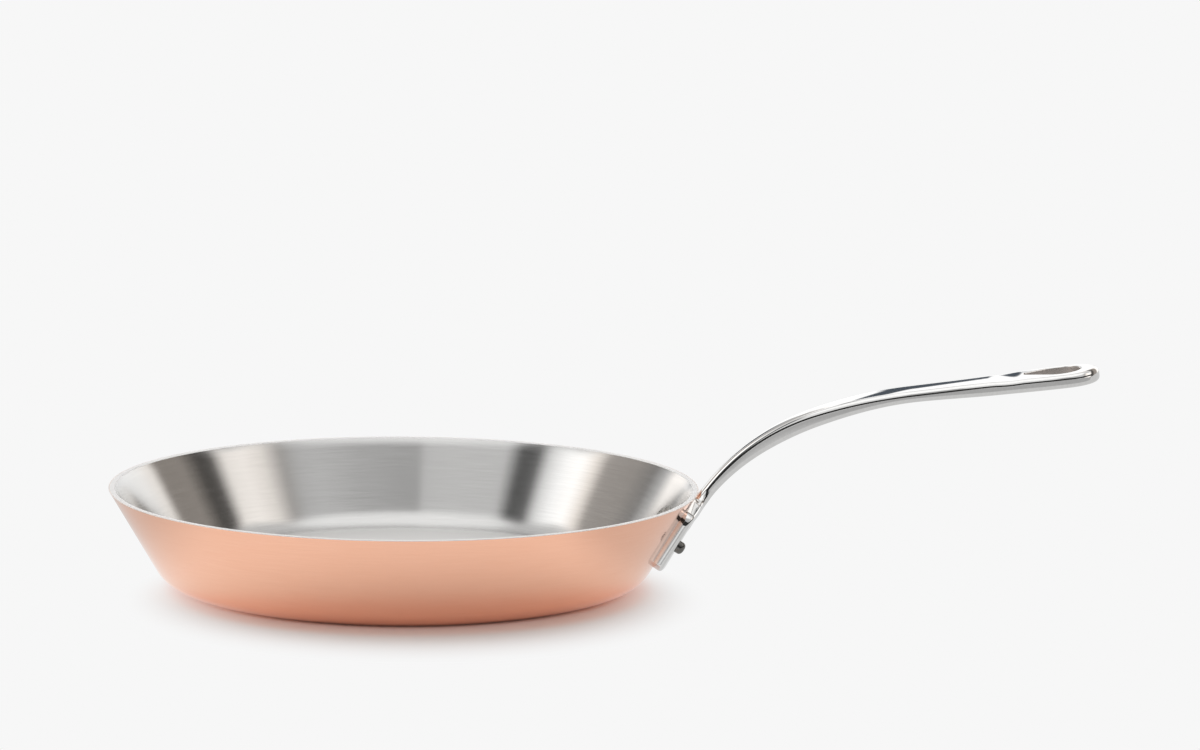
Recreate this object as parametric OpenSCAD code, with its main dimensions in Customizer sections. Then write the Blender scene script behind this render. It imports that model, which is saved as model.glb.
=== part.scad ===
// A round omelette pan: a bonded three-layer body, a one-piece cast handle and two solid rivets.
// The origin is the centre of the base's underside. The handle runs along +X, and +Z is up.

/* [Pan body] */
// Diameter across the outside of the rim
rim_d = 280; // [240:5:340]
// Height of the flat rim above the base
pan_h = 45; // [44:1:70]
// Lean of the wall from the vertical, in degrees
wall_lean = 30; // [26:1:34]
// Outer radius of the curve between base and wall
base_curve_r = 14; // [8:1:16]
// Thickness of the outer copper skin
copper_t = 0.5; // [0.3:0.1:1]
// Thickness of the aluminium core
core_t = 1.5; // [0.8:0.1:3]
// Thickness of the steel lining
lining_t = 0.5; // [0.3:0.1:1]

/* [Handle flange] */
// Width of the flange across the wall
flange_w = 64; // [58:1:76]
// Thickness of the flange
flange_t = 5; // [3:0.5:7]
// Distance down the wall from the rim to the flange's lower edge
flange_drop = 39; // [36:0.5:41]
// Distance down the wall from the rim to the top of the flange's flat ends
end_drop = 14; // [11:0.5:18]
// Distance down the wall from the rim to the root of the neck
root_drop = 3.5; // [2:0.5:6]
// Radius of the flange's lower corners
foot_corner_r = 3; // [1:0.5:5]
// Radius of the flange's upper corners
shoulder_r = 6; // [3:0.5:9]
// Radius of the hollow curve between shoulder and neck
armpit_r = 8; // [4:0.5:12]

/* [Handle bar] */
// Gap between the pan's wall and the neck that rises past the rim
neck_gap = 1.3; // [1:0.1:3]
// Distance down the wall from the rim to where the neck starts to bend
bend_drop = 10; // [8:0.5:14]
// Length of the neck's straight tail inside the flange
tail_l = 12; // [8:1:16]
// Radius of the first bend, above the rim
bend_r = 108; // [90:2:140]
// Slope where the first bend passes into the second, in degrees
mid_slope = 19.5; // [15:0.5:25]
// Radius of the second, gentler bend
sweep_r = 230; // [150:10:300]
// Slope of the straight grip, in degrees
grip_slope = 7.8; // [4:0.2:12]
// Length of the straight grip, tip included
grip_l = 90; // [80:1:120]
// Width of the neck
neck_w = 10; // [9:0.5:14]
// Length of bar that keeps the neck's width
neck_l = 30; // [15:1:40]
// Width of the grip
grip_w = 22; // [18:0.5:26]
// Distance before the tip at which the grip starts to widen
flare_l = 68; // [55:1:75]
// Width of the loop round the hanging slot
loop_w = 32; // [28:0.5:38]
// Thickness at the neck
neck_t = 5; // [4:0.25:7]
// Thickness near the top of the first bend
bend_t = 7.4; // [6:0.2:9]
// Thickness at the waist, where the grip starts
waist_t = 5.2; // [4:0.2:7]
// Thickness of the loop
loop_t = 6.3; // [5:0.1:8]
// Rise of the bar's top face above its edges
crown = 0.7; // [0.2:0.1:1.5]
// Radius of the bar's long edges
edge_r = 2.2; // [1:0.1:2.4]

/* [Hanging slot] */
// Width of the slot at its wide end
slot_w = 21; // [14:0.5:23]
// Width of the slot at its narrow end
slot_tip_w = 8; // [5:0.5:12]
// Length of the slot
slot_l = 27; // [24:0.5:34]
// Solid metal between the slot and the tip of the handle
slot_end = 8.5; // [6:0.5:12]

/* [Rivets] */
// Distance between the two rivets
rivet_span = 48; // [40:1:50]
// Distance down the wall from the rim to the rivets
rivet_drop = 24; // [20:0.5:29]
// Diameter of the rivet's shank
rivet_d = 6; // [4:0.5:7]
// Clearance of the shank in its holes, on the radius
rivet_fit = 0.05; // [0.02:0.01:0.15]
// Length of shank that stands out of the flange
rivet_tail_l = 3.9; // [2:0.1:5]
// Radius of the rounded end of the shank
rivet_tail_r = 1.2; // [0.4:0.1:1.6]
// Diameter of the head inside the pan
head_d = 15; // [12:0.5:17]
// Height of the head
head_h = 2.4; // [1.6:0.1:3.5]
// Height of the head's upright rim, below its sloping edge
head_rim_h = 0.9; // [0.5:0.1:1.4]
// Diameter of the head's flat top
head_top_d = 10; // [7:0.5:11]

/* [Hidden] */

rim_r = rim_d / 2;
wall_t = copper_t + core_t + lining_t;
wall_slope = 90 - wall_lean;
// Radius of the flat base, where the base curve starts
base_r = rim_r - (pan_h - base_curve_r) * tan(wall_lean) - base_curve_r / cos(wall_lean);
// Extra length by which blanks and cutters pass what they cut
over = 5;
// Number of sides of the round pan, and of all smaller rounds
pan_sides = 180;
$fn = 96;
// Angle from the handle's centre plane to each rivet
rivet_angle = asin(rivet_span / 2 / (rim_r - rivet_drop * sin(wall_lean)));

// Length along the bar of each stretch, counted from the start of the first bend
bend_l = bend_r * (wall_slope - mid_slope) * PI / 180;
sweep_l = sweep_r * (mid_slope - grip_slope) * PI / 180;
grip_start = bend_l + sweep_l;
bar_l = grip_start + grip_l;
flare_start = bar_l - flare_l;
loop_r = loop_w / 2;
loop_mid = bar_l - loop_r;
// Places along the bar where it is thickest, and where it reaches the loop's thickness
thickest_at = 0.8 * bend_l;
even_from = flare_start + flare_l / 4;
// Thickness of the bar's tail, which stays inside the metal of the flange
tail_t = 0.8 * (flange_t - neck_gap);
// Spacing of the bar's sections
section_step = 4;
// Angles round the tip at which it has sections, closer together towards the end
tip_angles = [10, 20, 30, 40, 50, 60, 68, 75, 81, 86];
// Half the least width of the bar, at the last of these sections
tip_half = 0.1;
// Largest shares of the bar's half width and of its thickness that a rounded edge may take
edge_share_w = 0.6;
edge_share_t = 0.45;
// Places across the bar's top, as shares of its flat half width, where the outline has points
top_places = [0.6, 0.2, -0.2, -0.6];

steel = [0.80, 0.80, 0.80];
copper = [0.86, 0.56, 0.44];
aluminium = [0.72, 0.73, 0.75];
dull_steel = [0.66, 0.66, 0.65];

// Radius and height of a point on the wall: distance down from the rim, and distance out
function wall_point(drop, out) = [
    rim_r - drop * sin(wall_lean) + out * cos(wall_lean),
    pan_h - drop * cos(wall_lean) - out * sin(wall_lean)
];

// Points on an arc about a centre, from one angle to another
function arc(centre, r, from, to, steps = 6) =
    [for (i = [0:steps]) let (a = from + (to - from) * i / steps) centre + r * [cos(a), sin(a)]];

// A smooth step from 0 to 1 as x goes from a to b
function step_up(a, b, x) = let (u = min(1, max(0, (x - a) / (b - a)))) u * u * (3 - 2 * u);

// Places a child on the outer wall: X runs down the wall, Y across it and Z out of it
module on_wall(angle = 0, drop = 0) {
    at = wall_point(drop, 0);
    rotate([0, 0, angle])
        translate([at[0], 0, at[1]])
            rotate([0, 90 + wall_lean, 0])
                children();
}

// Half section of all that lies inside the pan's outer surface, moved inwards by a depth
module dish_section(depth, top) {
    foot = wall_point((pan_h - base_curve_r * (1 - sin(wall_lean))) / cos(wall_lean), 0);
    brim = wall_point((pan_h - top) / cos(wall_lean), 0);
    inwards = depth * [-cos(wall_lean), sin(wall_lean)];
    brim_in = depth / cos(wall_lean);
    polygon([
        [0, depth],
        [base_r, depth],
        [base_r, base_curve_r],
        foot + inwards,
        brim - [brim_in, 0],
        [0, top]
    ]);
    intersection() {
        translate([base_r, base_curve_r]) circle(r = base_curve_r - depth);
        translate([base_r, 0]) square(base_curve_r);
    }
}

// One layer of the body, between two depths below the outer surface, with its rivet holes
module layer(depth, thickness) {
    difference() {
        rotate_extrude($fn = pan_sides)
            difference() {
                dish_section(depth, pan_h);
                dish_section(depth + thickness, pan_h + over);
            }
        rivet_holes();
    }
}

module rivet_holes() {
    for (side = [-1, 1])
        on_wall(side * rivet_angle, rivet_drop)
            translate([0, 0, -wall_t - over])
                cylinder(d = rivet_d + 2 * rivet_fit, h = wall_t + flange_t + 2 * over);
}

module copper_shell() {
    color(copper) layer(0, copper_t);
}

module aluminium_core() {
    color(aluminium) layer(copper_t, core_t);
}

module steel_lining() {
    color(dull_steel) layer(copper_t + core_t, lining_t);
}

// A band of metal that follows the outer wall, between two distances out from it
module wall_band(near, far) {
    low = flange_drop + over;
    high = -2 * over;
    rotate_extrude($fn = pan_sides)
        polygon([wall_point(low, near), wall_point(low, far), wall_point(high, far), wall_point(high, near)]);
}

root = [root_drop, neck_w / 2];
corner = [end_drop, flange_w / 2 - shoulder_r];
to_corner = corner - root;
// Angle, from straight down the wall, of the shoulder's top edge, which runs from the neck's root
// to touch the upper corner's circle
shoulder_angle = atan2(to_corner[1], to_corner[0]) + asin(shoulder_r / norm(to_corner));

// Outline of one half of the flange: X runs down the wall from the rim and Y across it
function flange_half() = concat(
    [[flange_drop, 0], [root_drop, 0], root],
    arc(corner, shoulder_r, shoulder_angle + 90, 90),
    arc([flange_drop - foot_corner_r, flange_w / 2 - foot_corner_r], foot_corner_r, 90, 0)
);

// Outline of the metal that fills the corner between the neck and one shoulder
function armpit_half() =
    let (centre = [root_drop - armpit_r * tan(shoulder_angle / 2), neck_w / 2 + armpit_r])
    concat(
        [[end_drop, 0], [centre[0], 0]],
        arc(centre, armpit_r, -90, shoulder_angle - 90)
    );

// Both halves of a symmetrical outline
module both_halves(points) {
    polygon(points);
    mirror([0, 1]) polygon(points);
}

// Slope of the bar's top line at a distance along it, in degrees
function bar_slope(s) =
    s < 0 ? wall_slope
    : s < bend_l ? wall_slope - s / bend_r * 180 / PI
    : s < grip_start ? mid_slope - (s - bend_l) / sweep_r * 180 / PI
    : grip_slope;

// End of an arc that starts at a point with one slope and ends with another
function arc_end(start, r, from, to) = start + r * [sin(from) - sin(to), cos(to) - cos(from)];

bend_start = wall_point(bend_drop, neck_gap);
sweep_start = arc_end(bend_start, bend_r, wall_slope, mid_slope);
grip_start_at = arc_end(sweep_start, sweep_r, mid_slope, grip_slope);

// Place of the bar's top line at a distance along it, as X and Z
function bar_point(s) =
    let (a = bar_slope(s))
    s < 0 ? bend_start + s * [cos(a), sin(a)]
    : s < bend_l ? arc_end(bend_start, bend_r, wall_slope, a)
    : s < grip_start ? arc_end(sweep_start, sweep_r, mid_slope, a)
    : grip_start_at + (s - grip_start) * [cos(a), sin(a)];

// Width of the bar, which swells from neck to grip and again to the loop, and closes at the round tip
function bar_width(s) =
    s > loop_mid
    ? 2 * sqrt(max(tip_half * tip_half, loop_r * loop_r - (s - loop_mid) * (s - loop_mid)))
    : neck_w + (grip_w - neck_w) * step_up(neck_l, grip_start, s)
        + (loop_w - grip_w) * step_up(flare_start, loop_mid, s);

// Thickness of the bar, whose tail thins to lie buried in the flange
function bar_thickness(s) =
    neck_t - (neck_t - tail_t) * (1 - step_up(-tail_l, 0, s))
    + (bend_t - neck_t) * step_up(0, thickest_at, s)
    + (waist_t - bend_t) * step_up(thickest_at, grip_start, s)
    + (loop_t - waist_t) * step_up(grip_start, even_from, s);

// How far the top and bottom edges are rounded off at the tip
function tip_inset(s) = let (d = min(edge_r, bar_l - s))
    edge_r - sqrt(max(0, edge_r * edge_r - (edge_r - d) * (edge_r - d)));

// Outline of the bar across its length, as side and height from the top line
function bar_outline(s) =
    let (
        half = bar_width(s) / 2,
        inset = tip_inset(s),
        top = -inset,
        low = -bar_thickness(s) + inset,
        round_r = min(edge_r, half * edge_share_w, (top - low) * edge_share_t),
        flat = half - round_r,
        // The crown fades out where the bar is narrow
        rise = crown * min(1, half / (2 * edge_r))
    )
    concat(
        arc([flat, top - round_r], round_r, 0, 90, 4),
        [for (k = top_places) [k * flat, top + rise * (1 - k * k)]],
        arc([-flat, top - round_r], round_r, 90, 180, 4),
        arc([-flat, low + round_r], round_r, 180, 270, 4),
        arc([flat, low + round_r], round_r, 270, 360, 4)
    );

bend_steps = ceil(bend_l / section_step);
sweep_steps = ceil(sweep_l / section_step);
grip_steps = ceil((loop_mid - grip_start) / section_step);
// Distances along the bar at which its outline is drawn
sections = concat(
    [-tail_l, -tail_l / 2],
    [for (i = [0:bend_steps - 1]) bend_l * i / bend_steps],
    [for (i = [0:sweep_steps - 1]) bend_l + sweep_l * i / sweep_steps],
    [for (i = [0:grip_steps]) grip_start + (loop_mid - grip_start) * i / grip_steps],
    [for (a = tip_angles) loop_mid + loop_r * sin(a)]
);

// A solid through rows of points, all with the same number of points
module loft(rows) {
    m = len(rows[0]);
    n = len(rows);
    points = [for (row = rows) each row];
    sides = [
        for (i = [0:n - 2], j = [0:m - 1])
            let (k = (j + 1) % m)
                each [[i * m + j, (i + 1) * m + k, i * m + k], [i * m + j, (i + 1) * m + j, (i + 1) * m + k]]
    ];
    near_end = [for (j = [0:m - 1]) j];
    far_end = [for (j = [m - 1:-1:0]) (n - 1) * m + j];
    polyhedron(points, concat(sides, [near_end, far_end]));
}

// The bar from inside the flange to the tip
module bar() {
    loft([
        for (s = sections)
            let (at = bar_point(s), a = bar_slope(s))
                [for (p = bar_outline(s)) [at[0] - p[1] * sin(a), p[0], at[1] + p[1] * cos(a)]]
    ]);
}

// The slot through the loop: a wide round end, a narrow round end and the tangents between them
module slot_outline() {
    wide_r = slot_w / 2;
    tip_r = slot_tip_w / 2;
    wide_at = grip_l - slot_end - wide_r;
    tip_at = grip_l - slot_end - slot_l + tip_r;
    // Angle at which the tangent touches both circles
    touch = acos((wide_r - tip_r) / (wide_at - tip_at));
    up = [-cos(touch), sin(touch)];
    down = [-cos(touch), -sin(touch)];
    translate([wide_at, 0]) circle(r = wide_r);
    translate([tip_at, 0]) circle(r = tip_r);
    polygon([
        [wide_at, 0] + wide_r * up,
        [tip_at, 0] + tip_r * up,
        [tip_at, 0] + tip_r * down,
        [wide_at, 0] + wide_r * down
    ]);
}

module slot() {
    translate([grip_start_at[0], 0, grip_start_at[1]])
        rotate([0, -grip_slope, 0])
            translate([0, 0, -loop_t - over])
                linear_extrude(loop_t + 2 * over)
                    slot_outline();
}

// Anything flat on the wall: an outline extruded along the wall's normal and cut to a band
module on_band(near, far) {
    intersection() {
        wall_band(near, far);
        on_wall() translate([0, 0, -3 * over]) linear_extrude(5 * over) children();
    }
}

module handle() {
    color(steel)
        difference() {
            union() {
                on_band(0, flange_t) both_halves(flange_half());
                on_band(neck_gap, flange_t) both_halves(armpit_half());
                bar();
            }
            slot();
            rivet_holes();
        }
}

// Half section of a rivet's head, with the pan's outer wall at height zero and the flange above it
module head_section() {
    polygon([
        [0, -wall_t - head_h],
        [head_top_d / 2, -wall_t - head_h],
        [head_d / 2, -wall_t - head_rim_h],
        [head_d / 2, -wall_t + over],
        [0, -wall_t + over]
    ]);
}

// Half section of its shank, from inside the head to the rounded end beyond the flange
module shank_section() {
    r = rivet_d / 2;
    start = -wall_t - head_h / 2;
    end = flange_t + rivet_tail_l;
    translate([0, start]) square([r, end - rivet_tail_r - start]);
    translate([0, start]) square([r - rivet_tail_r, end - start]);
    translate([r - rivet_tail_r, end - rivet_tail_r]) circle(r = rivet_tail_r);
}

// The pan's hollow, as a solid
module hollow() {
    rotate_extrude($fn = pan_sides) dish_section(wall_t, pan_h);
}

// A solid rivet: its head lies on the lining, and its shank passes through the wall and the flange
module rivet(side) {
    color(steel) {
        intersection() {
            on_wall(side * rivet_angle, rivet_drop) rotate_extrude() head_section();
            hollow();
        }
        on_wall(side * rivet_angle, rivet_drop) rotate_extrude() shank_section();
    }
}

module rivet_left() {
    rivet(1);
}

module rivet_right() {
    rivet(-1);
}

copper_shell();
aluminium_core();
steel_lining();
handle();
rivet_left();
rivet_right();
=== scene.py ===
"""The looks of the omelette pan: meshes, materials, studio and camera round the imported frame.

Shapes are worked out in millimetres in the row's frame (origin under the base's centre, +X along the
handle, +Z up) and turned into metres when a mesh is made.
"""
import math

import bpy
import numpy as np
from mathutils import Matrix


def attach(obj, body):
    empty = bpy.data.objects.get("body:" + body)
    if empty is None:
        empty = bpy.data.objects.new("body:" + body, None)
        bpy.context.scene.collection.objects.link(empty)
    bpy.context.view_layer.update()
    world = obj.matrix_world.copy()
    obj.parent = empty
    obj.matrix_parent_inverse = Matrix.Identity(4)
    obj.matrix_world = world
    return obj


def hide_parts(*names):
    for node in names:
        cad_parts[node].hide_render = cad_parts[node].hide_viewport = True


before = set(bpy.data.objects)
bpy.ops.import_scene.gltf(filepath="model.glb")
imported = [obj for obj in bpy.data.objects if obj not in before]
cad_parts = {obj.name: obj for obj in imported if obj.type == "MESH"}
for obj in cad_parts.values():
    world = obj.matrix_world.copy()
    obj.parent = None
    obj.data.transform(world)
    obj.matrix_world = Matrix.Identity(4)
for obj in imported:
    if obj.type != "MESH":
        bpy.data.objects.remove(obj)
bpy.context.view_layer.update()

MM = 0.001
# A length that counts as none
TINY = 1e-6
BODY = "root"

# The pan's body, as in the part's source
RIM_R = 140.0
PAN_H = 45.0
LEAN = math.radians(30)
BASE_CURVE_R = 14.0
COPPER_T = 0.5
CORE_T = 1.5
LINING_T = 0.5
WALL_T = COPPER_T + CORE_T + LINING_T
# The lining's curve into the base, drawn softer than in the part's source
LINING_CURVE_R = 18.0

# The handle's flange on the wall
FLANGE_W = 64.0
FLANGE_T = 5.0
FLANGE_DROP = 39.0
# Its ends stand about square to the round wall
FLANGE_FAN = 0.95
FLANGE_SWELL = 0.15
END_DROP = 14.0
ROOT_DROP = 3.5
FOOT_CORNER_R = 3.0
SHOULDER_R = 6.0
ARMPIT_R = 8.0

# The handle's bar
NECK_GAP = 1.3
BEND_DROP = 10.0
TAIL_L = 12.0
BEND_R = 108.0
SWEEP_R = 230.0
WALL_SLOPE = math.radians(60)
MID_SLOPE = math.radians(19.5)
GRIP_SLOPE = math.radians(7.8)
GRIP_L = 90.0
NECK_W = 10.0
NECK_L = 30.0
GRIP_W = 22.0
FLARE_L = 68.0
LOOP_W = 32.0
NECK_T = 5.0
BEND_T = 7.4
WAIST_T = 5.2
LOOP_T = 6.3
# Share of the bend at whose end the bar is thickest, and share of the flare at whose end it is full again
BEND_FULL = 0.8
FLARE_FULL = 0.25
# Share of the room inside the flange that the bar's foot fills
TAIL_SHARE = 0.8
# Rise of the bar's top along its middle, and the half width from which it is full
CROWN = 0.7
CROWN_FULL = 9.2
BEND_L = BEND_R * (WALL_SLOPE - MID_SLOPE)
SWEEP_L = SWEEP_R * (MID_SLOPE - GRIP_SLOPE)
GRIP_START = BEND_L + SWEEP_L
BAR_L = GRIP_START + GRIP_L
FLARE_START = BAR_L - FLARE_L
LOOP_R = LOOP_W / 2
LOOP_MID = BAR_L - LOOP_R
TAIL_T = TAIL_SHARE * (FLANGE_T - NECK_GAP)
# Beside the neck the bar's foot thins out between these distances from its middle and along it
THIN_ASIDE = (NECK_W / 2 - 1, NECK_W / 2 + 4)
THIN_ALONG = (12.0, 30.0)

# The slot, measured along the straight grip from where it starts
SLOT_WIDE_R = 10.5
SLOT_TIP_R = 4.0
SLOT_END = 8.5
SLOT_L = 27.0
SLOT_WIDE_AT = GRIP_L - SLOT_END - SLOT_WIDE_R
SLOT_TIP_AT = GRIP_L - SLOT_END - SLOT_L + SLOT_TIP_R

# Rounding of the handle's edges, and of the hollows where its parts run into each other
BAR_EDGE_R = 2.3
FLANGE_EDGE_R = 1.3
FLANGE_SUNK = 0.25
SLOT_EDGE_R = 0.7
CAST_FILLET = 1.6
# Shallow dip in the bar's top, just before the slot
DIP = 0.3
DIP_L = 17.0
# Swell of the bar's sides
SIDE_SWELL = 0.12

# The rivets
RIVET_SPAN = 48.0
RIVET_DROP = 24.0
RIVET_R = 3.0
RIVET_TAIL_L = 3.9
RIVET_DOME = 2.0
RIVET_WORN = 0.5
HEAD_R = 7.5
HEAD_H = 2.4
HEAD_RIM_H = 0.9
HEAD_TOP_R = 5.0
HEAD_SUNK = 0.4
HEAD_EDGE_R = 0.35
# How square the shank's domed end is, as the power of its cosine
DOME_POWER = 0.8
RIVET_ANGLE = math.asin(RIVET_SPAN / 2 / (RIM_R - RIVET_DROP * math.sin(LEAN)))

# Fineness of the meshes
ROUND_STEPS = 256
RIVET_STEPS = 96
CURVE_STEPS = 16
CORNER_STEPS = 12
FLAT_STEPS = 8
DOME_STEPS = 12
GRID_STEP = 0.6
# Bevels at the free edges of the pan's rim and at its seams
RIM_BEVEL = 0.14
SEAM_BEVEL = 0.03
# Degrees from which an edge stays crisp
LAYER_SHARP = 28
RIVET_SHARP = 50

# The camera, fitted to the photograph
LENS = 101.15
SENSOR = 36.0
CAMERA_AT = (92.19, -1583.29, 329.70)
CAMERA_PITCH = math.radians(8.288)
CAMERA_ROLL = math.radians(0.857)
# How far it sees, in metres
CLIP_END = 100


# Meshes

def add_mesh(name, points, faces, body=BODY):
    """A smooth-shaded mesh object from points in millimetres, riding on a body if one is given."""
    mesh = bpy.data.meshes.new(name)
    mesh.from_pydata((np.asarray(points) * MM).tolist(), [], faces)
    mesh.validate()
    mesh.shade_smooth()
    obj = bpy.data.objects.new(name, mesh)
    bpy.context.scene.collection.objects.link(obj)
    if body:
        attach(obj, body)
    return obj


def lathe(profile, steps=ROUND_STEPS):
    """Points and faces of a closed profile of (radius, height) pairs turned about Z."""
    rings, points, faces = [], [], []
    for radius, height in profile:
        if radius < TINY:
            rings.append([len(points)] * steps)
            points.append((0.0, 0.0, height))
            continue
        rings.append(list(range(len(points), len(points) + steps)))
        turn = 2 * math.pi / steps
        points += [(radius * math.cos(i * turn), radius * math.sin(i * turn), height) for i in range(steps)]
    for low, high in zip(rings, rings[1:] + rings[:1]):
        for i in range(steps):
            j = (i + 1) % steps
            corners = list(dict.fromkeys((low[i], low[j], high[j], high[i])))
            if len(corners) > 2:
                faces.append(corners)
    return points, faces


def arc(centre, radius, start, end, steps):
    """Points on an arc, angles in radians."""
    angles = np.linspace(start, end, steps + 1)
    return [(centre[0] + radius * math.cos(a), centre[1] + radius * math.sin(a)) for a in angles]


def wall_point(drop, out):
    """Radius and height of a point on the wall: distance down from the rim, and distance out."""
    return (
        RIM_R - drop * math.sin(LEAN) + out * math.cos(LEAN),
        PAN_H - drop * math.cos(LEAN) - out * math.sin(LEAN),
    )


def dish_line(depth, top, curve_r):
    """Half section of a surface at a depth inside the pan's outside, from the axis to a height."""
    corner_r = RIM_R - (PAN_H - depth) * math.tan(LEAN) - depth / math.cos(LEAN)
    flat_r = corner_r - curve_r * math.tan(math.pi / 4 - LEAN / 2)
    flat = [(flat_r * k / FLAT_STEPS, depth) for k in range(FLAT_STEPS)]
    curve = arc((flat_r, depth + curve_r), curve_r, -math.pi / 2, -LEAN, CURVE_STEPS)
    brim_r = RIM_R - (PAN_H - top) * math.tan(LEAN) - depth / math.cos(LEAN)
    foot = curve[-1]
    wall = [
        (foot[0] + (brim_r - foot[0]) * k / FLAT_STEPS, foot[1] + (top - foot[1]) * k / FLAT_STEPS)
        for k in range(1, FLAT_STEPS + 1)
    ]
    return flat + curve + wall


def layer_profile(depth, thickness, inner_curve_r=None):
    """Closed half section of one layer. The rim's free edges are bevelled, its seams only just."""
    out_bevel = SEAM_BEVEL if depth else RIM_BEVEL
    in_bevel = SEAM_BEVEL if depth + thickness < WALL_T else RIM_BEVEL
    outside = dish_line(depth, PAN_H - out_bevel, BASE_CURVE_R - depth)
    inner_curve_r = inner_curve_r or BASE_CURVE_R - depth - thickness
    inside = dish_line(depth + thickness, PAN_H - in_bevel, inner_curve_r)
    out_r = RIM_R - depth / math.cos(LEAN)
    in_r = RIM_R - (depth + thickness) / math.cos(LEAN)
    rim = [(out_r - out_bevel, PAN_H), (in_r + in_bevel, PAN_H)]
    return outside + rim + inside[::-1]


def mark_sharp(obj, degrees):
    """Keeps the shading crisp across edges that turn by more than an angle."""
    obj.data.set_sharp_from_angle(angle=math.radians(degrees))


def make_layer(name, depth, thickness, node, inner_curve_r=None):
    points, faces = lathe(layer_profile(depth, thickness, inner_curve_r))
    obj = add_mesh(name, points, faces)
    mark_sharp(obj, LAYER_SHARP)
    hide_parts(node)
    return obj


# Signed distances, in millimetres, negative inside

def rounded_and(a, b, r):
    """The common part of two solids, with its edge rounded to a radius."""
    return np.minimum(np.maximum(a, b), -r) + np.hypot(np.maximum(a + r, 0), np.maximum(b + r, 0))


def filleted_or(a, b, k):
    """Two solids joined by a smooth hollow."""
    h = np.maximum(k - np.abs(a - b), 0)
    return np.minimum(a, b) - h * h / (4 * k)


def polygon_distance(px, py, corners):
    corners = np.asarray(corners, float)
    best = np.full(px.shape, np.inf)
    inside = np.zeros(px.shape, bool)
    for (ax, ay), (bx, by) in zip(corners, np.roll(corners, -1, axis=0)):
        ex, ey = bx - ax, by - ay
        length2 = ex * ex + ey * ey
        if length2 < TINY ** 2:
            continue
        wx, wy = px - ax, py - ay
        t = np.clip((wx * ex + wy * ey) / length2, 0, 1)
        best = np.minimum(best, (wx - ex * t) ** 2 + (wy - ey * t) ** 2)
        crosses = (ay > py) != (by > py)
        if ey:
            inside ^= crosses & (px < ax + (py - ay) * ex / ey)
    return np.where(inside, -1, 1) * np.sqrt(best)


def shoulder_angle():
    """Angle, from straight down the wall, of the shoulder's top edge."""
    run = (END_DROP - ROOT_DROP, (FLANGE_W - NECK_W) / 2 - SHOULDER_R)
    return math.atan2(run[1], run[0]) + math.asin(SHOULDER_R / math.hypot(*run))


# How far the outline of one half goes past the middle
OUTLINE_PAST = 5.0
SHOULDER_ANGLE = shoulder_angle()
ARMPIT_TOP = ROOT_DROP - ARMPIT_R * math.tan(SHOULDER_ANGLE / 2)


def flange_outline():
    """One half of the flange, as (down the wall from the rim, across)."""
    corner = (END_DROP, FLANGE_W / 2 - SHOULDER_R)
    foot = (FLANGE_DROP - FOOT_CORNER_R, FLANGE_W / 2 - FOOT_CORNER_R)
    half = [(FLANGE_DROP, -OUTLINE_PAST), (ROOT_DROP, -OUTLINE_PAST), (ROOT_DROP, NECK_W / 2)]
    half += arc(corner, SHOULDER_R, SHOULDER_ANGLE + math.pi / 2, math.pi / 2, CURVE_STEPS)
    half += arc(foot, FOOT_CORNER_R, math.pi / 2, 0, CORNER_STEPS)
    return half


def arc_end(start, r, a, b):
    return (start[0] + r * (math.sin(a) - math.sin(b)), start[1] + r * (math.cos(b) - math.cos(a)))


BEND_AT = wall_point(BEND_DROP, NECK_GAP)
SWEEP_AT = arc_end(BEND_AT, BEND_R, WALL_SLOPE, MID_SLOPE)
GRIP_AT = arc_end(SWEEP_AT, SWEEP_R, MID_SLOPE, GRIP_SLOPE)


def line_place(x, z, start, a):
    """Distance along a straight line of slope a, and height above it."""
    dx, dz = x - start[0], z - start[1]
    return dx * math.cos(a) + dz * math.sin(a), dz * math.cos(a) - dx * math.sin(a)


def arc_place(x, z, start, r, a):
    """Distance along an arc that starts with slope a and bends down, and height above it."""
    dx, dz = x - (start[0] + r * math.sin(a)), z - (start[1] - r * math.cos(a))
    turned = np.arctan2(dz, dx) - math.pi / 2
    return r * (a - turned), np.hypot(dx, dz) - r


def bar_place(x, z):
    """Distance along the bar's top line, and height above it."""
    tail_s, tail_n = line_place(x, z, BEND_AT, WALL_SLOPE)
    sweep_s, _ = line_place(x, z, SWEEP_AT, MID_SLOPE)
    grip_s, grip_n = line_place(x, z, GRIP_AT, GRIP_SLOPE)
    bend_s, bend_n = arc_place(x, z, BEND_AT, BEND_R, WALL_SLOPE)
    turn_s, turn_n = arc_place(x, z, SWEEP_AT, SWEEP_R, MID_SLOPE)
    place = [tail_s < 0, sweep_s < 0, grip_s < 0]
    along = np.select(place, [tail_s, bend_s, BEND_L + turn_s], GRIP_START + grip_s)
    above = np.select(place, [tail_n, bend_n, turn_n], grip_n)
    return along, above


def step_up(a, b, x):
    u = np.clip((x - a) / (b - a), 0, 1)
    return u * u * (3 - 2 * u)


def bar_half_width(s):
    """Half the bar's width, which also flares into the flange's shoulders at its foot."""
    down = np.clip(BEND_DROP - s - ARMPIT_TOP, 0, ARMPIT_R * math.sin(SHOULDER_ANGLE))
    foot = ARMPIT_R - np.sqrt(ARMPIT_R * ARMPIT_R - down * down)
    return foot + (
        NECK_W + (GRIP_W - NECK_W) * step_up(NECK_L, GRIP_START, s)
        + (LOOP_W - GRIP_W) * step_up(FLARE_START, LOOP_MID, s)
    ) / 2


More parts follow.
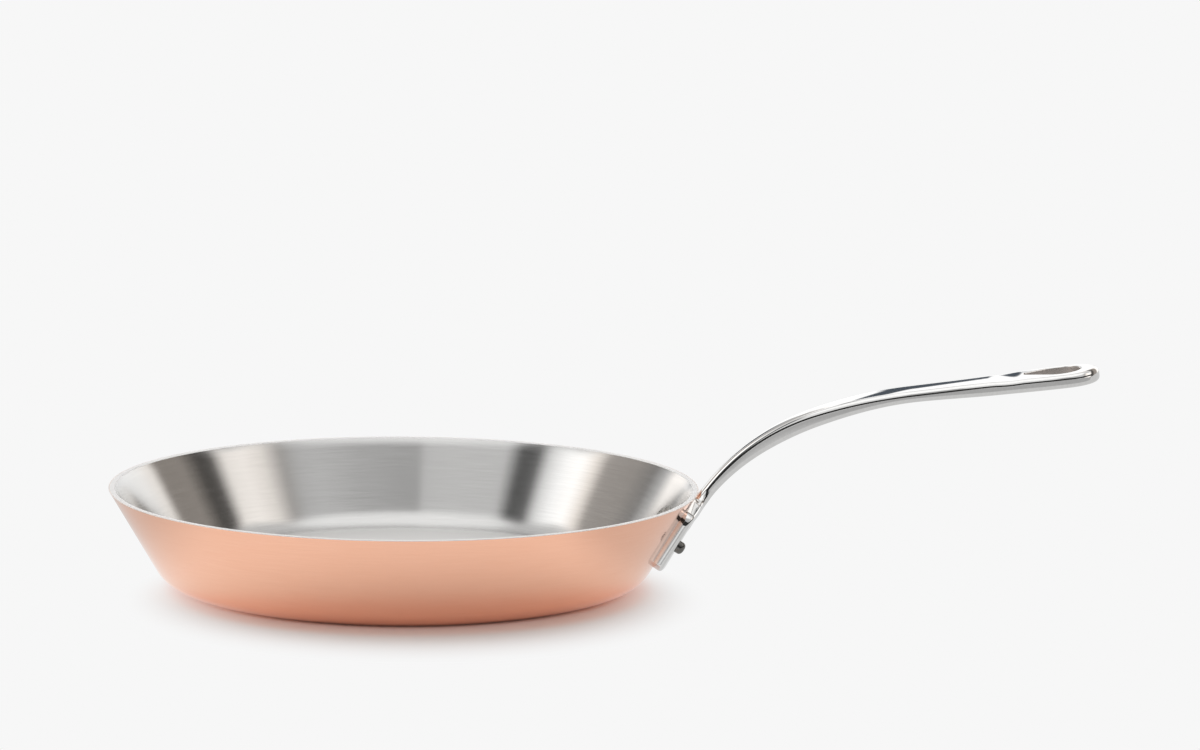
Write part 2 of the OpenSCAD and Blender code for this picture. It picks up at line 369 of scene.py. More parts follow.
def bar_thickness(s, y):
    """The bar's thickness. Beside the neck its foot is no thicker than the flange."""
    full = (
        TAIL_T + (NECK_T - TAIL_T) * step_up(-TAIL_L, 0, s)
        + (BEND_T - NECK_T) * step_up(0, BEND_FULL * BEND_L, s)
        + (WAIST_T - BEND_T) * step_up(BEND_FULL * BEND_L, GRIP_START, s)
        + (LOOP_T - WAIST_T) * step_up(GRIP_START, FLARE_START + FLARE_FULL * FLARE_L, s)
    )
    beside = step_up(*THIN_ASIDE, np.abs(y)) * (1 - step_up(*THIN_ALONG, s))
    return full - np.maximum(full - (FLANGE_T - NECK_GAP), 0) * beside


def slot_distance(u, y):
    """Distance to the slot's outline in the plane of the grip: two circles and their tangents."""
    span = SLOT_WIDE_AT - SLOT_TIP_AT
    sine = (SLOT_WIDE_R - SLOT_TIP_R) / span
    cosine = math.sqrt(1 - sine * sine)
    side = np.abs(y)
    back = SLOT_WIDE_AT - u
    along = back * cosine - side * sine
    tip = np.hypot(u - SLOT_TIP_AT, side) - SLOT_TIP_R
    wide = np.hypot(u - SLOT_WIDE_AT, side) - SLOT_WIDE_R
    middle = back * sine + side * cosine - SLOT_WIDE_R
    return np.where(along < 0, wide, np.where(along > span * cosine, tip, middle))


# Step over which the slope of the bar's side is measured
SIDE_STEP = 0.1


def bar_distance(x, y, z):
    s, n = bar_place(x, z)
    half = bar_half_width(s)
    slope = (bar_half_width(s + SIDE_STEP) - bar_half_width(s - SIDE_STEP)) / (2 * SIDE_STEP)
    side = np.where(
        s > LOOP_MID,
        np.hypot(s - LOOP_MID, y) - LOOP_R,
        (np.abs(y) - half) / np.sqrt(1 + slope * slope),
    )
    thick = bar_thickness(s, y)
    up = np.clip(2 * n / thick + 1, -1, 1)
    side = np.maximum(side - SIDE_SWELL * (1 - up * up), -(s + TAIL_L))
    across = np.clip(y / np.maximum(half, 1), -1, 1)
    rise = CROWN * np.minimum(1, half / CROWN_FULL) * (1 - across * across)
    to_slot = np.clip((GRIP_START + SLOT_TIP_AT - SLOT_TIP_R - s) / DIP_L, 0, 1)
    rise = rise - DIP * np.sin(math.pi * to_slot) ** 2
    slab = np.maximum(n - rise, -thick - n)
    bar = rounded_and(side, slab, BAR_EDGE_R)
    return rounded_and(bar, -slot_distance(s - GRIP_START, y), SLOT_EDGE_R)


FLANGE_HALF = flange_outline()


def flange_distance(x, y, z):
    """Distance to the flange, and distance out from the wall."""
    out = (np.hypot(x, y) - RIM_R) * math.cos(LEAN) - (z - PAN_H) * math.sin(LEAN)
    down = -(x - RIM_R) * math.sin(LEAN) - (z - PAN_H) * math.cos(LEAN)
    side = np.abs(y) * (1 - FLANGE_FAN * (out - FLANGE_T / 2) / RIM_R)
    side = side - FLANGE_SWELL * (1 - (2 * out / FLANGE_T - 1) ** 2)
    plate = rounded_and(polygon_distance(down, side, FLANGE_HALF), out - FLANGE_T, FLANGE_EDGE_R)
    return plate, out


# The flange ends before this place along X
FLANGE_END_X = 152.0


def handle_distance(points):
    """Distance to the whole handle at an array of points."""
    x, y, z = points[..., 0], points[..., 1], points[..., 2]
    solid = bar_distance(x, y, z)
    near = x < FLANGE_END_X
    if near.any():
        flange, out = flange_distance(x[near], y[near], z[near])
        joined = filleted_or(solid[near], flange, CAST_FILLET)
        solid[near] = np.maximum(joined, -out - FLANGE_SUNK)
    return solid


def gradient(field, points, h=0.05):
    steps = np.eye(3) * h
    return np.stack([(field(points + e) - field(points - e)) / (2 * h) for e in steps], axis=-1)


CELL_CORNERS = [(i, j, k) for i in (0, 1) for j in (0, 1) for k in (0, 1)]
CELL_EDGES = [
    (a, b)
    for a in CELL_CORNERS
    for b in CELL_CORNERS
    if a < b and sum(abs(p - q) for p, q in zip(a, b)) == 1
]


def surface_net(values, low, step):
    """Vertices and quads of a field's zero surface, one vertex for each grid cell it passes through."""
    inside = values < 0
    shape = np.array(values.shape) - 1
    count = sum(
        inside[i:i + shape[0], j:j + shape[1], k:k + shape[2]].astype(np.int8) for i, j, k in CELL_CORNERS
    )
    mixed = (count > 0) & (count < 8)
    cells = np.argwhere(mixed)
    index = np.full(mixed.shape, -1)
    index[mixed] = np.arange(len(cells))
    total = np.zeros((len(cells), 3))
    hits = np.zeros(len(cells))
    for a, b in CELL_EDGES:
        va = values[tuple((cells + a).T)]
        vb = values[tuple((cells + b).T)]
        crossed = (va < 0) != (vb < 0)
        t = np.where(crossed, va / np.where(crossed, va - vb, 1), 0)
        total += np.where(crossed[:, None], np.array(a) + t[:, None] * (np.array(b) - a), 0)
        hits += crossed
    points = low + step * (cells + total / hits[:, None])
    quads = []
    for axis in range(3):
        ahead = [slice(None)] * 3
        behind = [slice(None)] * 3
        ahead[axis], behind[axis] = slice(1, None), slice(None, -1)
        change = np.argwhere(inside[tuple(behind)] != inside[tuple(ahead)])
        u, v = np.eye(3, dtype=int)[(axis + 1) % 3], np.eye(3, dtype=int)[(axis + 2) % 3]
        ring = [index[tuple((change - p).T)] for p in (0 * u, u, u + v, v)]
        leaving = inside[tuple(change.T)]
        ring = np.stack(ring, axis=1)
        quads.append(np.where(leaving[:, None], ring, ring[:, ::-1]))
    return points, np.concatenate(quads)


# Steps of a point towards the surface, the longest of them, and the least squared slope reckoned with
SETTLE_ROUNDS = 3
SETTLE_REACH = 0.4
SETTLE_SLOPE = 0.2
# Rounds of evening out, and the share of the way to its neighbours' middle that a point goes in each
RELAX_ROUNDS = 3
RELAX_SHARE = 0.6


def settle(points, field):
    """Moves each point onto the surface."""
    for _ in range(SETTLE_ROUNDS):
        slope = gradient(field, points)
        steep = np.maximum((slope * slope).sum(axis=1), SETTLE_SLOPE)
        reach = np.clip(field(points) / steep, -SETTLE_REACH, SETTLE_REACH)
        points = points - reach[:, None] * slope
    return points


def relax(points, quads, field):
    """Evens out a mesh along its surface."""
    links = np.concatenate([quads[:, [i, (i + 1) % 4]] for i in range(4)])
    degree = np.bincount(links.ravel(), minlength=len(points))[:, None]
    points = settle(points, field)
    for _ in range(RELAX_ROUNDS):
        middle = np.zeros_like(points)
        for a, b in ((0, 1), (1, 0)):
            for axis in range(3):
                middle[:, axis] += np.bincount(
                    links[:, a], weights=points[links[:, b], axis], minlength=len(points)
                )
        move = middle / degree - points
        slope = gradient(field, points)
        normal = slope / np.linalg.norm(slope, axis=1, keepdims=True)
        points = points + RELAX_SHARE * (move - (move * normal).sum(axis=1, keepdims=True) * normal)
        points = settle(points, field)
    return points


def split_in_four(points, quads, field):
    """Splits each face in four, with the new points on the surface."""
    ends = np.sort(np.stack([quads, np.roll(quads, -1, axis=1)], axis=-1), axis=-1)
    pairs, middles = np.unique(ends.reshape(-1, 2), axis=0, return_inverse=True)
    middles = middles.reshape(-1, 4) + len(points)
    centres = len(points) + len(pairs) + np.arange(len(quads))
    faces = [np.stack([quads[:, i], middles[:, i], centres, middles[:, i - 1]], axis=1) for i in range(4)]
    points = np.concatenate([points, points[pairs].mean(axis=1), points[quads].mean(axis=1)])
    return settle(points, field), np.concatenate(faces)


# Corners of a box round the handle, and the step over which its normals are measured
BOX_HALF_W = FLANGE_W / 2 + 1.5
HANDLE_LOW = np.array([112.0, -BOX_HALF_W, 6.0])
HANDLE_HIGH = np.array([331.0, BOX_HALF_W, 110.0])
NORMAL_STEP = 0.12


def handle_grid():
    """Distances to the handle on a grid over its box."""
    counts = np.ceil((HANDLE_HIGH - HANDLE_LOW) / GRID_STEP).astype(int) + 1
    xs, ys, zs = (HANDLE_LOW[i] + GRID_STEP * np.arange(counts[i]) for i in range(3))
    y, z = np.meshgrid(ys, zs, indexing="ij")
    return np.array([handle_distance(np.stack([np.full(y.shape, x), y, z], axis=-1)) for x in xs])


def make_handle():
    """The cast handle: flange, neck, grip and loop as one smooth skin."""
    points, quads = surface_net(handle_grid(), HANDLE_LOW, GRID_STEP)
    points = relax(points, quads, handle_distance)
    points, quads = split_in_four(points, quads, handle_distance)
    obj = add_mesh("handle_cast", points, quads.tolist())
    slope = gradient(handle_distance, points, NORMAL_STEP)
    normals = slope / np.linalg.norm(slope, axis=1, keepdims=True)
    obj.data.normals_split_custom_set_from_vertices(normals.tolist())
    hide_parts("handle")
    return obj


# Most of an edge that a bevel may take up
BEVEL_SHARE = 0.45


def bevelled(profile, radius, steps=4):
    """A profile with the corner at each inner point rounded to a radius."""
    rounded = [profile[0]]
    for before, at, after in zip(profile, profile[1:], profile[2:]):
        p, q, r = (np.array(v, float) for v in (before, at, after))
        back_l, on_l = np.linalg.norm(p - q), np.linalg.norm(r - q)
        back, on = (p - q) / back_l, (r - q) / on_l
        half = math.acos(np.clip(back @ on, -1, 1)) / 2
        reach = min(radius / math.tan(half), BEVEL_SHARE * back_l, BEVEL_SHARE * on_l)
        start, end = q + back * reach, q + on * reach
        for k in range(steps + 1):
            t = k / steps
            rounded.append(tuple((1 - t) ** 2 * start + 2 * t * (1 - t) * q + t * t * end))
    return rounded + [profile[-1]]


def make_rivet(name, side, node):
    """A solid rivet: its head lies on the lining, and its shank stands out of the flange."""
    end = FLANGE_T + RIVET_TAIL_L - RIVET_WORN
    head = bevelled(
        [
            (0, -WALL_T - HEAD_H),
            (HEAD_TOP_R, -WALL_T - HEAD_H),
            (HEAD_R, -WALL_T - HEAD_RIM_H),
            (HEAD_R, -WALL_T + HEAD_SUNK),
            (RIVET_R, -WALL_T + HEAD_SUNK),
        ],
        HEAD_EDGE_R,
    )
    turns = np.linspace(0, math.pi / 2, DOME_STEPS + 1)
    tail = [(RIVET_R * math.cos(a) ** DOME_POWER, end + RIVET_DOME * (math.sin(a) - 1)) for a in turns[:-1]]
    points, faces = lathe(head + tail + [(0, end)], RIVET_STEPS)
    seat_r, seat_z = wall_point(RIVET_DROP, 0)
    place = (
        Matrix.Rotation(side * RIVET_ANGLE, 4, "Z")
        @ Matrix.Translation((seat_r, 0, seat_z))
        @ Matrix.Rotation(math.pi / 2 + LEAN, 4, "Y")
    )
    obj = add_mesh(name, points, faces, None)
    obj.matrix_world = Matrix.Translation(place.to_translation() * MM) @ place.to_3x3().to_4x4()
    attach(obj, BODY)
    mark_sharp(obj, RIVET_SHARP)
    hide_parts(node)
    return obj


# Materials. From here on, lengths are in metres

class Shader:
    """Short ways to add and join the nodes of a material or of the world."""

    def __init__(self, owner):
        owner.use_nodes = True
        self.tree = owner.node_tree
        self.tree.nodes.clear()

    def node(self, kind, **settings):
        made = self.tree.nodes.new(kind)
        for key, value in settings.items():
            setattr(made, key, value)
        return made

    def join(self, source, socket):
        if isinstance(source, bpy.types.NodeSocket):
            self.tree.links.new(source, socket)
        else:
            socket.default_value = source

    def math(self, operation, *values):
        made = self.node("ShaderNodeMath", operation=operation)
        for value, socket in zip(values, made.inputs):
            self.join(value, socket)
        return made.outputs[0]

    def times(self, first, *others):
        for other in others:
            first = self.math("MULTIPLY", first, other)
        return first

    def weigh(self, share, a, b):
        """A share of one number and the rest of another."""
        return self.math("ADD", self.times(a, share), self.times(b, 1 - share))

    def length(self, a, b):
        return self.math("SQRT", self.math("ADD", self.times(a, a), self.times(b, b)))

    def away_from(self, x, y, at):
        return self.length(self.math("SUBTRACT", x, at[0]), self.math("SUBTRACT", y, at[1]))

    def smooth(self, value, start, end, low=0.0, high=1.0):
        made = self.node("ShaderNodeMapRange", interpolation_type="SMOOTHSTEP")
        for source, socket in zip((value, start, end, low, high), made.inputs):
            self.join(source, socket)
        return made.outputs["Result"]

    def window(self, value, start, end, soft):
        """One between two values and zero outside them, with soft borders."""
        rise = self.smooth(value, start - soft, start + soft)
        return self.times(rise, self.smooth(value, end - soft, end + soft, 1.0, 0.0))

    def blend(self, share, a, b):
        """A number that goes from a to b."""
        made = self.node("ShaderNodeMix", data_type="FLOAT")
        for value, socket in zip((share, a, b), (made.inputs[0], made.inputs[2], made.inputs[3])):
            self.join(value, socket)
        return made.outputs[0]

    def noise(self, vector, scale, detail, roughness=0.5):
        made = self.node("ShaderNodeTexNoise")
        self.join(vector, made.inputs["Vector"])
        made.inputs["Scale"].default_value = scale
        made.inputs["Detail"].default_value = detail
        made.inputs["Roughness"].default_value = roughness
        return made.outputs["Fac"]

    def combine(self, x, y, z):
        made = self.node("ShaderNodeCombineXYZ")
        for value, socket in zip((x, y, z), made.inputs):
            self.join(value, socket)
        return made.outputs[0]

    def place(self):
        """Object coordinates: the vector and its three parts."""
        vector = self.node("ShaderNodeTexCoord").outputs["Object"]
        parts = self.node("ShaderNodeSeparateXYZ")
        self.tree.links.new(vector, parts.inputs[0])
        return vector, *parts.outputs

    def mix(self, factor, a, b, blend="MIX"):
        made = self.node("ShaderNodeMix", data_type="RGBA", blend_type=blend)
        self.join(factor, made.inputs["Factor"])
        self.join(a, made.inputs["A"])
        self.join(b, made.inputs["B"])
        return made.outputs["Result"]

    def bump(self, height, distance, strength=1.0):
        made = self.node("ShaderNodeBump")
        made.inputs["Strength"].default_value = strength
        made.inputs["Distance"].default_value = distance
        self.tree.links.new(height, made.inputs["Height"])
        return made.outputs["Normal"]

    def metal(self):
        made = self.node("ShaderNodeBsdfPrincipled")
        made.inputs["Metallic"].default_value = 1.0
        return made

    def mix_shaders(self, share, a, b):
        made = self.node("ShaderNodeMixShader")
        for source, socket in zip((share, a.outputs[0], b.outputs[0]), made.inputs):
            self.tree.links.new(source, socket)
        return made.outputs[0]

    def finish(self, surface, kind="ShaderNodeOutputMaterial"):
        self.tree.links.new(surface, self.node(kind).inputs["Surface"])


def rgb(*values):
    return (*values, 1.0)


def grey(level):
    return rgb(level, level, level)


def times_all(colour, factor):
    return rgb(*[factor * c for c in colour])


def give(obj, material):
    obj.data.materials.clear()
    obj.data.materials.append(material)


# Brush lines: how much broader the broad ones are, and the share of the fine ones
BROADER = 4.0
FINE_SHARE = 0.8
# Their share in the tone, and the scale of the soft clouds that make up the rest
LINE_SHARE = 0.8
CLOUD_SCALE = 22.0
# Spans of the noise that count, in the tone and in the gloss
TONE_SPAN = (0.36, 0.64)
GRAIN_SPAN = (0.3, 0.7)
# Depth and strength of the lines, and the height among them at which the ground rim lies
BRUSH_DEPTH = 0.00001
BRUSH_STRENGTH = 0.5
BRUSH_MIDDLE = 0.5
# Turns the stretched gloss across the lines
BRUSH_ROTATION = 0.25
# The rim is ground flat above this height
RIM_CUT = ((PAN_H - 0.3) * MM, (PAN_H - 0.2) * MM)
RIM_ROUGHNESS = 0.75
# Heights between which the wall's finish goes over into the base's
BASE_BLEND = (0.0026, 0.0036)
# The flat base's colour is lifted by this factor: painted light that brightens the base
BASE_PAINTED_LIGHT = 1.2
BASE_STRETCH = 0.4


# Nearest to the axis that lines are told apart
NEAR_AXIS = 1e-5


def brush_lines(s, x, y, z, lines, turns):
    """Streaks that run round the Z axis."""
    radius = s.math("MAXIMUM", s.length(x, y), NEAR_AXIS)
    along = s.math("ADD", radius, z)
    round_x, round_y = (s.times(s.math("DIVIDE", part, radius), turns) for part in (x, y))
    fine, broad = (s.combine(round_x, round_y, s.times(along, scale)) for scale in (lines, lines / BROADER))
    fine = s.noise(fine, 1.0, detail=3.0, roughness=0.6)
    broad = s.noise(broad, 1.0, detail=2.0)
    return s.weigh(FINE_SHARE, fine, broad)


def turned_metal(
    name, colour, deep, roughness, grain, lines=5000.0, turns=7.0, stretch=0.9, cut=None, base=None
):
    """Metal brushed round the Z axis, with soft clouds and a gloss stretched across its lines.

    The pan's ground rim may have a colour of its own, and the flat base a roughness of its own and a colour
    lifted by painted light.
    """
    material = bpy.data.materials.new(name)
    s = Shader(material)
    vector, x, y, z = s.place()
    streaks = brush_lines(s, x, y, z, lines, turns)
    tone = s.weigh(LINE_SHARE, streaks, s.noise(vector, CLOUD_SCALE, detail=3.0))
    shade = s.mix(s.smooth(tone, *TONE_SPAN), rgb(*deep), rgb(*colour))
    rough = s.smooth(streaks, *GRAIN_SPAN, roughness - grain, roughness + grain)
    if base:
        flat = s.smooth(z, *BASE_BLEND, 1.0, 0.0)
        # Painted light: the flat base's colour is lifted
        shade = s.mix(flat, shade, times_all(colour, BASE_PAINTED_LIGHT))
        rough = s.blend(flat, rough, base)
        stretch = s.blend(flat, stretch, BASE_STRETCH)
    ground = s.smooth(z, *RIM_CUT)
    height = s.blend(ground, streaks, BRUSH_MIDDLE)
    tangent = s.node("ShaderNodeTangent", direction_type="RADIAL", axis="Z").outputs[0]
    surface = s.metal()
    surface.inputs["Anisotropic Rotation"].default_value = BRUSH_ROTATION
    s.join(s.mix(ground, shade, rgb(*(cut or colour))), surface.inputs["Base Color"])
    s.join(s.blend(ground, rough, RIM_ROUGHNESS), surface.inputs["Roughness"])
    s.join(s.blend(ground, stretch, 0.0), surface.inputs["Anisotropic"])
    s.join(s.bump(height, BRUSH_DEPTH, BRUSH_STRENGTH), surface.inputs["Normal"])
    s.join(tangent, surface.inputs["Tangent"])
    s.finish(surface.outputs[0])
    return material


# The steel inside the slot, which is left as it was cast
SLOT_COLOUR = (0.56, 0.52, 0.49)
SLOT_ROUGHNESS = 0.5
# Softness of its ends, distances across past its wide end, and steepness of its walls, as the height part of
# the way they face
SLOT_SOFT = 0.0004
SLOT_PAST = (0.2, 0.8)
SLOT_FACING = (0.35, 0.6)


def inside_slot(s, x, y, z):
    """One on the slot's walls, from their place along the grip, across it, and the way they face."""
    dx = s.math("SUBTRACT", x, GRIP_AT[0] * MM)
    dz = s.math("SUBTRACT", z, GRIP_AT[1] * MM)
    along = s.math("ADD", s.times(dx, math.cos(GRIP_SLOPE)), s.times(dz, math.sin(GRIP_SLOPE)))
    start, end = (SLOT_TIP_AT - SLOT_TIP_R) * MM, (SLOT_WIDE_AT + SLOT_WIDE_R) * MM
    within = s.window(along, start, end, SLOT_SOFT)
    aside = [(SLOT_WIDE_R + past) * MM for past in SLOT_PAST]
    across = s.smooth(s.math("ABSOLUTE", y), *aside, 1.0, 0.0)
    facing = s.node("ShaderNodeSeparateXYZ")
    s.join(s.node("ShaderNodeNewGeometry").outputs["Normal"], facing.inputs[0])
    steep = s.smooth(s.math("ABSOLUTE", facing.outputs[2]), *SLOT_FACING, 1.0, 0.0)
    return s.times(within, across, steep)


# The rivets' pressed ends are painted darker than their heads: painted shade
TAIL_PAINTED_SHADE = 0.42
# Polishing haze: its scale, its span, how much it darkens, and what it does to the roughness
HAZE_SCALE = 900.0
HAZE_SPAN = (0.35, 0.65)
HAZE_DARK = 0.95
HAZE_GLOSS = (0.7, 1.3)
# Scale of the unevenness
WAVE_SCALE = 60.0


def polished_steel(name, colour, roughness, waviness, slot=False, tail=False):
    """Polished cast steel, with a faint unevenness and fine polishing haze, and where asked painted shade on
    the rivets' ends.
    """
    material = bpy.data.materials.new(name)
    s = Shader(material)
    vector, x, y, z = s.place()
    haze = s.noise(vector, HAZE_SCALE, detail=3.0)
    shade = s.mix(s.smooth(haze, *HAZE_SPAN), times_all(colour, HAZE_DARK), rgb(*colour))
    rough = s.smooth(haze, *GRAIN_SPAN, *[share * roughness for share in HAZE_GLOSS])
    if slot:
        cast = inside_slot(s, x, y, z)
        shade = s.mix(cast, shade, rgb(*SLOT_COLOUR))
        rough = s.blend(cast, rough, SLOT_ROUGHNESS)
    if tail:
        # Painted shade: the rivet's end that stands out of the flange is darkened
        shade = s.mix(s.smooth(z, 0.0, FLANGE_T * MM), shade, times_all(colour, TAIL_PAINTED_SHADE))
    surface = s.metal()
    s.join(shade, surface.inputs["Base Color"])
    s.join(rough, surface.inputs["Roughness"])
    s.join(s.bump(s.noise(vector, WAVE_SCALE, detail=1.0), waviness), surface.inputs["Normal"])
    s.finish(surface.outputs[0])
    return material


# Studio

# The room's panels as the pan's inner wall mirrors them: degrees round the pan from +X, brightness and warmth
ROOM_PANELS = [
    (0, 0.95, 0), (8, 1.1, 0), (14, 1.5, 0.5), (20, 1.6, 0.5), (25, 0.66, 0), (30, 0.31, 0.5),
    (37, 0.47, 1), (46, 0.5, 1), (49.5, 1.45, 1), (53, 1.9, 0.2), (57, 1.65, 0), (61, 1.12, 0),
    (64, 0.17, 0), (68, 0.08, 0), (71.5, 0.94, 0), (89, 0.88, 0), (90.5, 0.51, 0), (103, 0.58, 0),
    (113, 0.75, 0), (117, 0.7, 0), (120.5, 0.53, 0.5), (125, 1.3, 0.8), (130, 1.6, 0.7), (134.2, 1.5, 0.7),
    (138, 0.12, 1), (141.5, 0.09, 1), (147, 0.4, 1.4), (155, 0.36, 1.4), (158.5, 1.3, 0.7),
    (164, 1.35, 0.2), (171, 1.25, 0), (180, 1.0, 0),
]
# What one step of warmth does to red, green and blue
WARM = (1.0, 0.93, 0.87)
# Brightness of a white stop of the ramp
RAMP_PEAK = 2.0
# Direction from the camera to the pan
SIGHT = (-0.057, 0.981)

# Patches on the room: brightness, then where each begins and ends in degrees round the pan and up, with the
# softness of its borders. First the wall behind
BACK_LIGHT = 1.3
BACK_TURN = (84, 96.5, 2.5)
BACK_UP = (-10, 48, 6)
# High on both sides, counted from their middle
HIGH_LIGHT = 0.75
HIGH_MIDDLE = 93.0
HIGH_ASIDE = (14, 78, 6)
HIGH_UP = (46, 62, 3)
# The corner on the left of the wall behind
CORNER_LIGHT = 0.5
CORNER_TURN = (97, 106, 0.7)
CORNER_UP = (7, 30, 2)
# Overhead, from this height up
TOP_LIGHT = 1.3
TOP_UP = (58, 66)

# Dark gaps between the panels behind. The middle of the right one bows with height
GAP_COLOUR = (0.085, 0.1, 0.12)
RIGHT_GAP_MIDDLE = 86.0
RIGHT_GAP_BOW = 50.0
RIGHT_GAP_ASIDE = (-1.7, 1.5, 0.4)
RIGHT_GAP_UP = (2.5, 21, 1)
LEFT_GAP_TURN = (99, 106, 0.4)
LEFT_GAP_UP = (5.5, 13, 0.5)

# The black cloth in front, which only mirrors see. It draws the dark line along the handle. It goes from none
# to full at its foot and back at its top, and its top falls to either side of its middle
CLOTH_LIGHT = 0.03
CLOTH_TURN = (-150, 5, 4)
CLOTH_FOOT = (1.5, 3.5)
CLOTH_TOP = (37.0, 40.0)
CLOTH_MIDDLE = -90.0
CLOTH_FALLS = (-0.1, 0.2)


def panel_colours(s, x, y):
    """Colours of the panels, laid out as the pan's inner wall mirrors them."""
    ahead = s.math("SUBTRACT", SIGHT[1], y)
    panel = s.math("DIVIDE", s.math("ARCTAN2", ahead, s.math("SUBTRACT", SIGHT[0], x)), math.pi)
    ramp = s.node("ShaderNodeValToRGB")
    stops = ramp.color_ramp.elements
    for i, (degrees, value, warmth) in enumerate(ROOM_PANELS):
        at = degrees / 180
        stop = stops[i] if i < 2 else stops.new(at)
        stop.position = at
        stop.color = rgb(*[value / RAMP_PEAK * w ** warmth for w in WARM])
    s.join(s.math("ABSOLUTE", panel), ramp.inputs[0])
    return s.mix(1.0, ramp.outputs[0], grey(RAMP_PEAK), "MULTIPLY")


def room_patches(s, colour, turn, up):
    """The larger patches over the panels, from back to front."""
    behind = s.times(s.window(turn, *BACK_TURN), s.window(up, *BACK_UP))
    colour = s.mix(behind, colour, grey(BACK_LIGHT))
    aside = s.math("ABSOLUTE", s.math("SUBTRACT", turn, HIGH_MIDDLE))
    colour = s.mix(s.times(s.window(aside, *HIGH_ASIDE), s.window(up, *HIGH_UP)), colour, grey(HIGH_LIGHT))
    corner = s.times(s.window(turn, *CORNER_TURN), s.window(up, *CORNER_UP))
    colour = s.mix(corner, colour, grey(CORNER_LIGHT))
    return s.mix(s.smooth(up, *TOP_UP), colour, grey(TOP_LIGHT))


def gaps(s, turn, up, z):
    """One in the dark gaps."""
    middle = s.math("ADD", s.times(z, z, RIGHT_GAP_BOW), RIGHT_GAP_MIDDLE)
    aside = s.math("SUBTRACT", turn, middle)
    right = s.times(s.window(aside, *RIGHT_GAP_ASIDE), s.window(up, *RIGHT_GAP_UP))
    left = s.times(s.window(turn, *LEFT_GAP_TURN), s.window(up, *LEFT_GAP_UP))
    return s.math("MAXIMUM", right, left)


def cloth(s, turn, up):
    """One on the black cloth."""
    aside = s.math("SUBTRACT", turn, CLOTH_MIDDLE)
    over = s.math("ADD", up, s.math("MAXIMUM", *[s.times(aside, fall) for fall in CLOTH_FALLS]))
    below = s.smooth(over, *CLOTH_TOP, 1.0, 0.0)
    return s.times(s.window(turn, *CLOTH_TURN), s.smooth(up, *CLOTH_FOOT), below)


def make_room():
    """Soft light from panels painted on the sky. The camera sees plain white paper behind them."""
    world = bpy.data.worlds.new("studio")
    bpy.context.scene.world = world
    s = Shader(world)
    parts = s.node("ShaderNodeSeparateXYZ")
    s.join(s.node("ShaderNodeTexCoord").outputs["Generated"], parts.inputs[0])
    x, y, z = parts.outputs
    turn = s.math("DEGREES", s.math("ARCTAN2", y, x))
    up = s.math("DEGREES", s.math("ARCSINE", z))
    rays = s.node("ShaderNodeLightPath")
    colour = room_patches(s, panel_colours(s, x, y), turn, up)
    colour = s.mix(gaps(s, turn, up, z), colour, rgb(*GAP_COLOUR))
    colour = s.mix(s.times(cloth(s, turn, up), rays.outputs["Is Glossy Ray"]), colour, grey(CLOTH_LIGHT))
    lit = s.node("ShaderNodeBackground")
    s.join(colour, lit.inputs["Color"])
    paper = s.node("ShaderNodeBackground")
    paper.inputs["Color"].default_value = grey(PAPER_LIGHT)
    s.finish(s.mix_shaders(rays.outputs["Is Camera Ray"], lit, paper), "ShaderNodeOutputWorld")


# Brightness of the white paper, below and behind
PAPER_LIGHT = 0.93
FLOOR_R = 30.0
FLOOR_STEPS = 96
# Keeps the paper clear of the pan's base
FLOOR_DROP = 0.00005
FLOOR_ROUGHNESS = 0.5
FLOOR_SHINE = 0.2
# Where the pan's shadow lies: its middle, and how far out it goes from full to none
SHADE_AT = (0.009, -0.045)
SHADE_OUT = (0.08, 0.137)
# How much nearer the shadow ends in what mirrors see
SHADE_LESS = 0.012
# The paper's own colour where it takes the shadow, a little cool as a painted shade tint, and the copper's
# pink glow painted on it as colour out to a distance from the pan's middle
PAPER_AND_SHADE_TINT = (0.90, 0.925, 0.935)
GLOW = (0.95, 0.835, 0.80)
GLOW_OUT = (0.120, 0.134)
# The fainter pink glow at its sides, painted on the paper's even light
EDGE_GLOW = (1.0, 0.86, 0.83)
EDGE_GLOW_AT = (0.003, -0.015)
EDGE_GLOW_OUT = (0.108, 0.118)
# Brightness of the paper in front, on the left and under the handle, as mirrors see it, and from where to
# where it sets in
FRONT_LIGHT = 0.67
FRONT_Y = (-0.40, -0.14)
LEFT_LIGHT = 0.74
LEFT_X = (-0.17, -0.11)
RIGHT_LIGHT = 0.76
RIGHT_X = (0.10, 0.14)


def paper_light(s, x, y, seen):
    """Even light of the paper away from the shadow, with the copper's pink glow painted on it in a ring.
    Mirrors see it darker in front and at the sides.
    """
    front = s.smooth(y, *FRONT_Y, FRONT_LIGHT, 1.0)
    left = s.smooth(x, *LEFT_X, LEFT_LIGHT, 1.0)
    right = s.smooth(x, *RIGHT_X, 1.0, RIGHT_LIGHT)
    bright = s.times(s.math("MAXIMUM", s.times(front, left, right), seen), PAPER_LIGHT)
    past = s.smooth(s.away_from(x, y, EDGE_GLOW_AT), *EDGE_GLOW_OUT)
    # Painted glow: a pink tint on the paper's light in a ring round the pan
    pink = s.mix(past, rgb(*EDGE_GLOW), grey(1.0))
    light = s.node("ShaderNodeEmission")
    s.join(s.mix(1.0, pink, s.combine(bright, bright, bright), "MULTIPLY"), light.inputs["Color"])
    return light


def paper_material():
    material = bpy.data.materials.new("paper")
    s = Shader(material)
    _, x, y, _ = s.place()
    seen = s.node("ShaderNodeLightPath").outputs["Is Camera Ray"]
    away = s.math("ADD", s.away_from(x, y, SHADE_AT), s.times(s.math("SUBTRACT", 1.0, seen), SHADE_LESS))
    shaded = s.node("ShaderNodeBsdfPrincipled")
    # Painted glow of the copper near the pan, and a cool painted shade tint on the paper beyond it
    tint = s.mix(s.smooth(s.length(x, y), *GLOW_OUT), rgb(*GLOW), rgb(*PAPER_AND_SHADE_TINT))
    s.join(tint, shaded.inputs["Base Color"])
    shaded.inputs["Roughness"].default_value = FLOOR_ROUGHNESS
    shaded.inputs["Specular IOR Level"].default_value = FLOOR_SHINE
    s.finish(s.mix_shaders(s.smooth(away, *SHADE_OUT), shaded, paper_light(s, x, y, seen)))
    return material


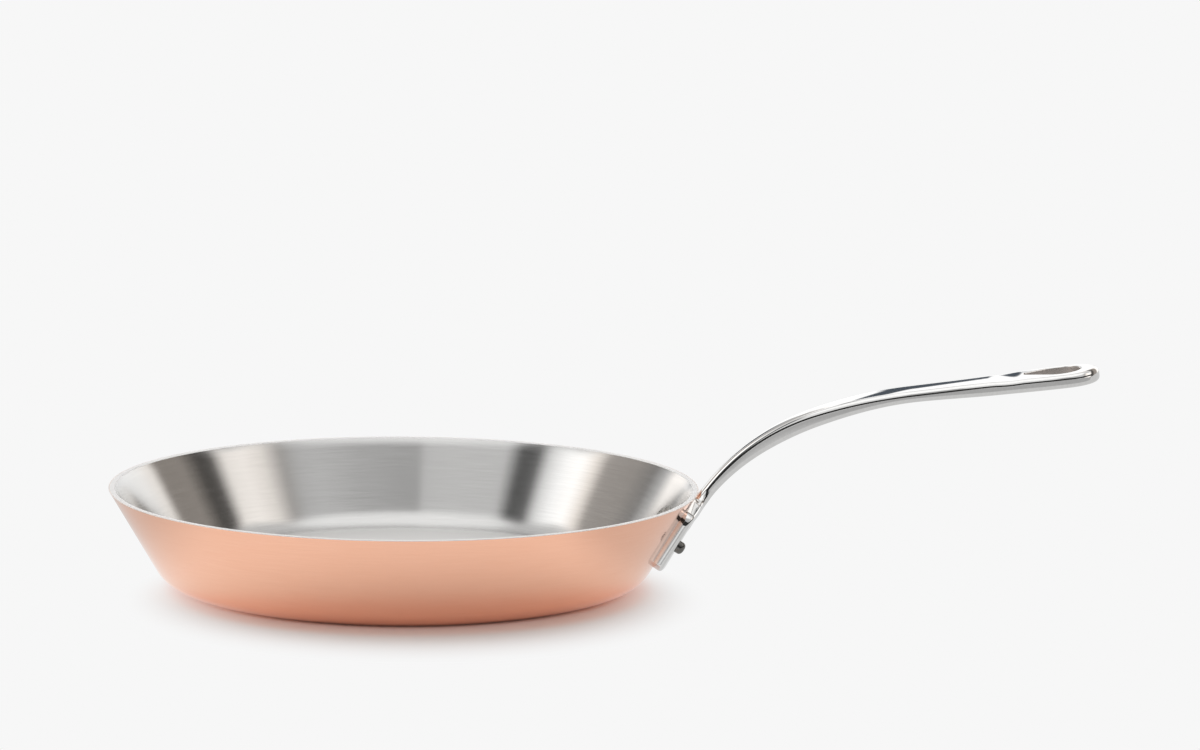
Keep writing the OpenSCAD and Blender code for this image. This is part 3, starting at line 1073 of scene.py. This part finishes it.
def make_floor():
    """White paper under the pan. Away from it the paper glows evenly, so that it meets the white behind."""
    turns = np.linspace(0, 2 * math.pi, FLOOR_STEPS + 1)[:-1]
    mesh = bpy.data.meshes.new("floor")
    ring = [(FLOOR_R * math.cos(a), FLOOR_R * math.sin(a), -FLOOR_DROP) for a in turns]
    mesh.from_pydata(ring, [], [list(range(FLOOR_STEPS))])
    floor = bpy.data.objects.new("floor", mesh)
    bpy.context.scene.collection.objects.link(floor)
    give(floor, paper_material())


def make_camera():
    data = bpy.data.cameras.new("camera")
    data.lens = LENS
    data.sensor_width = SENSOR
    data.sensor_fit = "HORIZONTAL"
    data.clip_end = CLIP_END
    camera = bpy.data.objects.new("camera", data)
    bpy.context.scene.collection.objects.link(camera)
    camera.matrix_world = (
        Matrix.Translation([c * MM for c in CAMERA_AT])
        @ Matrix.Rotation(math.pi / 2 - CAMERA_PITCH, 4, "X")
        @ Matrix.Rotation(CAMERA_ROLL, 4, "Z")
    )
    bpy.context.scene.camera = camera


make_camera()
make_room()
make_floor()

copper = turned_metal(
    "copper_satin", colour=(0.965, 0.555, 0.395), deep=(0.935, 0.515, 0.355), roughness=0.12, grain=0.02,
    cut=(0.92, 0.87, 0.84),
)
aluminium = turned_metal(
    "aluminium_cut", colour=(0.94, 0.94, 0.94), deep=(0.89, 0.89, 0.89), roughness=0.2, grain=0.03,
)
lining = turned_metal(
    "steel_brushed", colour=(0.645, 0.64, 0.63), deep=(0.585, 0.58, 0.57), roughness=0.20, grain=0.02,
    lines=2600.0, turns=6.0, stretch=1.0, cut=(0.94, 0.94, 0.94), base=0.45,
)
mirror = polished_steel(
    "steel_mirror", colour=(0.78, 0.775, 0.765), roughness=0.05, waviness=0.0000002, slot=True,
)
satin = polished_steel(
    "steel_satin", colour=(0.40, 0.39, 0.37), roughness=0.30, waviness=0.00001, tail=True,
)

give(make_layer("body_copper", 0, COPPER_T, "copper_shell"), copper)
give(make_layer("body_core", COPPER_T, CORE_T, "aluminium_core"), aluminium)
give(make_layer("body_lining", COPPER_T + CORE_T, LINING_T, "steel_lining", LINING_CURVE_R), lining)
give(make_handle(), mirror)
give(make_rivet("rivet_far", 1, "rivet_left"), satin)
give(make_rivet("rivet_near", -1, "rivet_right"), satin)

bpy.context.scene.view_settings.view_transform = "Standard"
